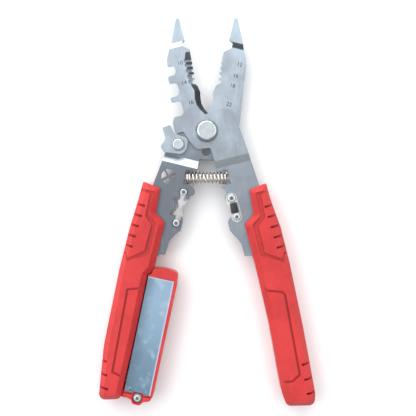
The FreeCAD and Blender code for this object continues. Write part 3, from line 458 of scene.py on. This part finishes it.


# ---------------------------------------------------------------- return spring
# A compression spring of 1.1 mm steel wire, wound open with closed ends, that is held between
# the two handles.

WIRE = 0.0011
WIRE_SIDES = 12
TURNS = 12
STEPS_A_TURN = 24
spring_low, spring_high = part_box("return_spring")
coil_radius = (spring_high.z - spring_low.z) / 2 - WIRE / 2
spring_start = Vector((spring_low.x, (spring_low.y + spring_high.y) / 2,
                       (spring_low.z + spring_high.z) / 2))
spring_length = spring_high.x - spring_low.x
coil = bmesh.new()
section = bmesh.ops.create_circle(coil, cap_ends=False, segments=WIRE_SIDES,
                                  radius=WIRE / 2)["verts"]
bmesh.ops.rotate(coil, verts=section, cent=(0, 0, 0), matrix=Matrix.Rotation(math.pi / 2, 3, "Z"))
bmesh.ops.translate(coil, verts=section, vec=Vector((WIRE / 2, coil_radius, 0)))
end_pitch = WIRE * 1.02
open_turns = TURNS - 2
open_pitch = (spring_length - WIRE - 2 * end_pitch) / open_turns
ring = section + coil.edges[:]
for turns, pitch in ((1, end_pitch), (open_turns, open_pitch), (1, end_pitch)):
    swept = bmesh.ops.spin(coil, geom=ring, cent=(0, 0, 0), axis=(1, 0, 0),
                           dvec=(pitch / STEPS_A_TURN, 0, 0), angle=2 * math.pi * turns,
                           steps=turns * STEPS_A_TURN, use_duplicate=False)
    ring = swept["geom_last"]
bmesh.ops.holes_fill(coil, edges=[e for e in coil.edges if e.is_boundary], sides=0)
bmesh.ops.translate(coil, verts=coil.verts, vec=spring_start)
bmesh.ops.recalc_face_normals(coil, faces=coil.faces)
spring = finished(coil, "coil_spring", "return_spring")
spring_steel = turned_steel("spring_wire_steel", "return_spring", (0.85, 0.82, 0.78, 1),
                            (0.6, 0.57, 0.53, 1), 0.14)
painted(spring, spring_steel)

jaw_pivot = next(joint for joint in frame["joints"] if joint["name"] == "jaw_pivot")
jaw_travel = jaw_pivot["range_deg"][1]
right_end = spring_start + Vector((spring_length, 0, 0))
closed_end = Matrix.Rotation(math.radians(-jaw_travel), 3, "Z") @ right_end
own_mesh(spring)


# ---------------------------------------------------------------- grips
# Moulded sleeves of red polypropylene with a fine satin grain, pressed over the handles. Their
# upper corners are well rounded, and painted shade darkens their channels and finger notches.

RED = (0.62, 0.034, 0.034, 1)
RED_WORN = (0.74, 0.075, 0.07, 1)
RED_DEEP = (0.52, 0.024, 0.024, 1)
# painted shade for the channels and notches
RED_CHANNEL_SHADE = (0.2, 0.008, 0.008, 1)
GRIP_FRONT = 0.0156
DEEPEST_FLOOR, NOTCH_DEPTH = 0.003, 0.0028
CORNER_ROUND, CORNER_SEGMENTS = 0.0011, 4
TALLER_THAN = 0.005
CORNERS_ABOVE = -0.07


def red_plastic(name):
    finish = Finish(name, Specular_IOR_Level=0.45)
    patches = finish.cloud(45, 3)
    grain = finish.cloud(2400, 2)
    mottle = finish.cloud(260, 3)
    scuff_place = finish.moved(turn=(0, 0, 0.5), stretch=(1, 0.08, 1))
    scuffs = finish.band(finish.cloud(420, 3, scuff_place), 0.64, 0.76)
    tone = finish.blend(finish.band(patches * 0.7 + mottle * 0.3, 0.36, 0.64), RED_DEEP, RED)
    tone = finish.blend(scuffs * 0.35, tone, RED_WORN)
    # painted shade in the channels and finger notches
    tone = finish.blend(finish.mark("channel_shade"), tone, RED_CHANNEL_SHADE)
    rough = 0.4 + mottle * 0.12 + scuffs * 0.1
    relief = finish.height(grain * 0.8 + mottle * 0.6, 0.00004, 0.5)
    return finish.apply(Base_Color=tone, Roughness=rough, Normal=relief)


def upper_corner(edge):
    """True of a sleeve's tall upper corners, and of the mitres that run up from them."""
    way = edge.verts[0].co - edge.verts[1].co
    tall = way.length > TALLER_THAN and abs(way.z) > 0.99 * way.length
    mitre = all(0.6 < abs(face.normal.z) < 0.8 for face in edge.link_faces)
    return (tall or mitre) and edge.verts[0].co.y > CORNERS_ABOVE


def round_corners(shell):
    break_edges(shell, CORNER_ROUND, CORNER_SEGMENTS, clamp=False, chosen=upper_corner)


def channel_shade_face(face):
    """Judges how much painted shade a face gets: the channels' and notches' floors, and the walls
    beside them.
    """
    from_middle = abs(face.center.z - GRIP_FRONT / 2)
    depth = GRIP_FRONT / 2 - from_middle
    floor = abs(face.normal.z) > 0.95 and 0.0004 < depth < DEEPEST_FLOOR
    wall = abs(face.normal.z) < 0.35 and depth < NOTCH_DEPTH
    return 0.15 * floor + 0.45 * wall


grip_red = red_plastic("grip_red_plastic")
for side in ("left", "right"):
    sleeve = dressed(side + "_grip", side + "_handle_grip", 0.0005, weld=0.00025,
                     first=round_corners)
    noted(sleeve, "channel_shade", channel_shade_face)
    painted(sleeve, grip_red)


# ---------------------------------------------------------------- storage tray
# A moulded tray in the same red that holds small parts and swings out from the left grip on its
# screw. A frosted clear cover is held over it by a rivet, with painted highlights along its right
# and top edges and painted shadow along its left side.

tray_red = red_plastic("tray_red_plastic")
painted(dressed("tray", "tray_box", 0.0006, segments=3), tray_red)

TRAY_LEAN = math.radians(11.85)
EDGE_BAND = 0.0005
cover_sheet = dressed("tray_window", "tray_cover", 0.0002)
corners = [Matrix.Rotation(TRAY_LEAN, 3, "Z") @ v.co for v in cover_sheet.data.vertices]
cover_left, cover_right = min(p.x for p in corners), max(p.x for p in corners)
cover_foot, cover_top = min(p.y for p in corners), max(p.y for p in corners)

cover = Finish("frosted_cover", Specular_IOR_Level=0.6)
upright = cover.moved(turn=(0, 0, TRAY_LEAN))
across, along = cover.part(upright, "X"), cover.part(upright, "Y")
haze = cover.cloud(60, 3, roughness=0.45)
wisps = cover.band(cover.cloud(210, 2, roughness=0.4), 0.52, 0.78)
fade = cover.band(along + haze * 0.02, cover_foot + 0.006, cover_top)
cover_tone = cover.blend(fade, (0.11, 0.2, 0.28, 1), (0.25, 0.38, 0.5, 1))
cover_tone = cover.blend(wisps * 0.4, cover_tone, (0.44, 0.53, 0.62, 1))
# painted shadow of the left grip along the cover's left side
shaded = cover.band(across + haze * 0.004, cover_left + 0.001, cover_left + 0.0085, 1.0, 0.0)
cover_tone = cover.blend(shaded * 0.7, cover_tone, (0.08, 0.13, 0.19, 1))
# painted highlights along the right and top edges
rim_highlight = cover.band(across, cover_right - 2 * EDGE_BAND, cover_right - EDGE_BAND)
rim_highlight = rim_highlight + cover.band(along, cover_top - 2 * EDGE_BAND, cover_top - EDGE_BAND)
cover_tone = cover.blend(rim_highlight * 0.8, cover_tone, (0.62, 0.6, 0.78, 1))
fine = cover.cloud(1800, 2)
cover.apply(Base_Color=cover_tone, Roughness=0.3 + haze * 0.15, Alpha=0.92 + wisps * 0.06,
            Normal=cover.height(fine, 0.00002, 0.4))
painted(cover_sheet, cover.material)


# ---------------------------------------------------------------- floor, light and camera
# A sheet of pale paper under the tool, a window's soft light from beyond its noses, softer fill
# from both sides and overhead, and a camera that looks straight down on the tool's middle.

FLOOR_SIZE = 4.0
FLOOR_GAP = 0.00005
floor_shell = bmesh.new()
bmesh.ops.create_grid(floor_shell, x_segments=1, y_segments=1, size=FLOOR_SIZE / 2)
bmesh.ops.translate(floor_shell, verts=floor_shell.verts, vec=(0, 0, cad_low.z - FLOOR_GAP))
floor_mesh = bpy.data.meshes.new("floor")
floor_shell.to_mesh(floor_mesh)
floor_shell.free()
floor = bpy.data.objects.new("floor", floor_mesh)
scene.collection.objects.link(floor)
paper = Finish("pale_floor", Roughness=0.9, Specular_IOR_Level=0.2)
paper.apply(Base_Color=paper.blend(paper.cloud(6, 2), (0.92, 0.92, 0.92, 1), (0.95, 0.95, 0.95, 1)))
floor_mesh.materials.append(paper.material)

OBJECT_MIDDLE = Vector((0.0007, -0.0432, 0.0078))


def softbox(name, offset, width, height, power):
    """A large soft light at an offset from the middle of the object, facing it."""
    light = bpy.data.lights.new(name, "AREA")
    light.shape = "RECTANGLE"
    light.size = width
    light.size_y = height
    light.energy = power
    lamp = bpy.data.objects.new(name, light)
    lamp.location = OBJECT_MIDDLE + Vector(offset)
    lamp.rotation_mode = "QUATERNION"
    lamp.rotation_quaternion = Vector(offset).to_track_quat("Z", "Y")
    scene.collection.objects.link(lamp)


softbox("window_light", (-0.2, 0.98, 0.6), 1.7, 1.0, 13.0)
softbox("left_light", (-1.0, 0.1, 0.8), 1.2, 1.4, 8.0)
softbox("right_light", (1.0, 0.2, 1.0), 1.2, 1.4, 6.0)
softbox("ceiling_light", (-0.4, 0.3, 2.0), 3.0, 3.0, 14.0)

world = bpy.data.worlds.new("studio")
world.use_nodes = True
world.node_tree.nodes["Background"].inputs["Color"].default_value = (0.93, 0.96, 1.0, 1)
world.node_tree.nodes["Background"].inputs["Strength"].default_value = 0.5
scene.world = world
scene.view_settings.view_transform = "Standard"

CAMERA_HEIGHT = 0.42
VIEW_WIDTH = 0.235
camera = bpy.data.cameras.new("camera")
camera.sensor_width = 36.0
camera.lens = camera.sensor_width * CAMERA_HEIGHT / VIEW_WIDTH
camera.clip_start = 0.01
camera_rig = bpy.data.objects.new("camera", camera)
camera_rig.location = OBJECT_MIDDLE + Vector((0, 0, CAMERA_HEIGHT))
scene.collection.objects.link(camera_rig)
scene.camera = camera_rig
